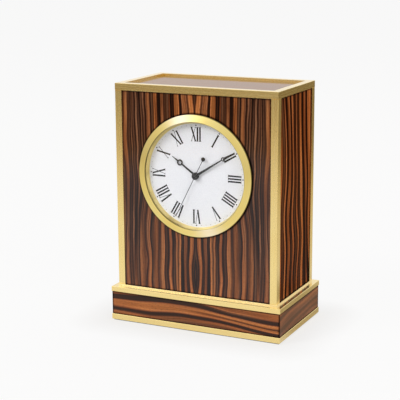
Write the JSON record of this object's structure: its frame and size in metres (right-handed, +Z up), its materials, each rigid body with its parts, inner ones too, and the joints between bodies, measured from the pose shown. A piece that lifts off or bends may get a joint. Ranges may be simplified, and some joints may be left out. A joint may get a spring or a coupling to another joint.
{
  "type": "desk clock",
  "caption": "Upright desk clock: striped wood panels in a brass frame on a banded plinth, round white dial with turning hands, geared battery movement and a hinged rear door.",
  "frame": {"origin": "middle of the plinth's footprint, on the surface it stands on", "axes": "+Z up, the dial faces -Y, +X to the right seen from the front"},
  "size_m": [0.175, 0.102, 0.23],
  "materials": {
    "striped_wood": "striped dark hardwood veneer under clear lacquer",
    "case_wood": "plain stained hardwood, satin lacquer",
    "core_board": "raw fibreboard",
    "brass": "satin brushed brass, lacquered",
    "felt": "dark pressed felt",
    "glass": "clear flat glass",
    "dial_white": "matt white enamel",
    "hand_paint": "dark grey satin paint on steel",
    "black_plastic": "fine grained moulded plastic",
    "gear_plastic": "natural acetal",
    "steel": "zinc plated steel",
    "spring_steel": "bare spring steel",
    "battery_jacket": "plain printed jacket",
    "coil": "enamelled copper winding on a steel stator"
  },
  "bodies": {
    "case": {"base_felt": "felt", "battery": "battery_jacket", "battery_contacts": "spring_steel", "bezel": "brass", "catch_magnet": "black_plastic", "dial_plate": "dial_white", "floor_board": "case_wood", "foot_frame": "brass", "front_panel": "striped_wood", "glass": "glass", "hinge_pins": "brass", "hinge_screws_case": "steel", "lower_hinge_leaf_case": "brass", "mounting_plate": "black_plastic", "movement_case": "black_plastic", "movement_cover": "black_plastic", "movement_screws": "steel", "plinth_base_frame": "brass", "plinth_core": "core_board", "plinth_panel_front": "striped_wood", "plinth_panel_left": "striped_wood", "plinth_panel_rear": "striped_wood", "plinth_panel_right": "striped_wood", "plinth_screws": "steel", "plinth_top_frame": "brass", "post_front_left": "brass", "post_front_right": "brass", "post_rear_left": "brass", "post_rear_right": "brass", "rear_stile_left": "case_wood", "rear_stile_right": "case_wood", "reflector_ring": "brass", "ring_nut": "brass", "side_panel_left": "striped_wood", "side_panel_right": "striped_wood", "snap_ring": "spring_steel", "stepping_motor": "coil", "top_panel": "striped_wood", "top_rail_front": "brass", "top_rail_left": "brass", "top_rail_rear": "brass", "top_rail_right": "brass", "upper_hinge_leaf_case": "brass"},
    "door": {"rear_door": "case_wood", "lower_hinge_leaf_door": "brass", "upper_hinge_leaf_door": "brass", "hinge_screws_door": "steel", "door_knob": "brass", "catch_plate": "steel"},
    "hour": {"hour_hand": "hand_paint", "hour_wheel": "gear_plastic"},
    "minute": {"minute_hand": "hand_paint", "minute_arbor": "gear_plastic"},
    "seconds": {"seconds_hand": "hand_paint", "seconds_wheel": "gear_plastic"},
    "third": {"third_wheel": "gear_plastic"},
    "centre": {"centre_wheel": "gear_plastic"},
    "motion": {"motion_wheel": "gear_plastic", "set_knob": "gear_plastic"},
    "stepper": {"stepper_wheel": "gear_plastic"}
  },
  "joints": [
    {"name": "door_swing", "type": "hinge", "parent": "case", "child": "door", "pos_m": [0.065, 0.0447, 0.13], "axis": [0, 0, -1], "range_deg": [0, 110]},
    {"name": "minute_turn", "type": "hinge", "parent": "case", "child": "minute", "pos_m": [0, -0.0447, 0.148], "axis": [0, 1, 0], "continuous": true},
    {"name": "hour_turn", "type": "hinge", "parent": "case", "child": "hour", "pos_m": [0, -0.0447, 0.148], "axis": [0, 1, 0], "continuous": true},
    {"name": "motion_turn", "type": "hinge", "parent": "case", "child": "motion", "pos_m": [-0.00827, -0.0447, 0.14499], "axis": [0, 1, 0], "continuous": true},
    {"name": "seconds_turn", "type": "hinge", "parent": "case", "child": "seconds", "pos_m": [0, -0.0447, 0.148], "axis": [0, 1, 0], "continuous": true},
    {"name": "third_turn", "type": "hinge", "parent": "case", "child": "third", "pos_m": [0.00696, -0.0447, 0.15288], "axis": [0, 1, 0], "continuous": true},
    {"name": "centre_turn", "type": "hinge", "parent": "case", "child": "centre", "pos_m": [0, -0.0447, 0.148], "axis": [0, 1, 0], "continuous": true},
    {"name": "stepper_turn", "type": "hinge", "parent": "case", "child": "stepper", "pos_m": [-0.0042, -0.0447, 0.15527], "axis": [0, 1, 0], "continuous": true}
  ],
  "couplings": [
    {"joint": "hour_turn", "follows": "minute_turn", "ratio": 0.083333},
    {"joint": "motion_turn", "follows": "minute_turn", "ratio": -0.33333},
    {"joint": "third_turn", "follows": "seconds_turn", "ratio": -0.13333},
    {"joint": "centre_turn", "follows": "seconds_turn", "ratio": 0.016667},
    {"joint": "stepper_turn", "follows": "seconds_turn", "ratio": -6}
  ]
}
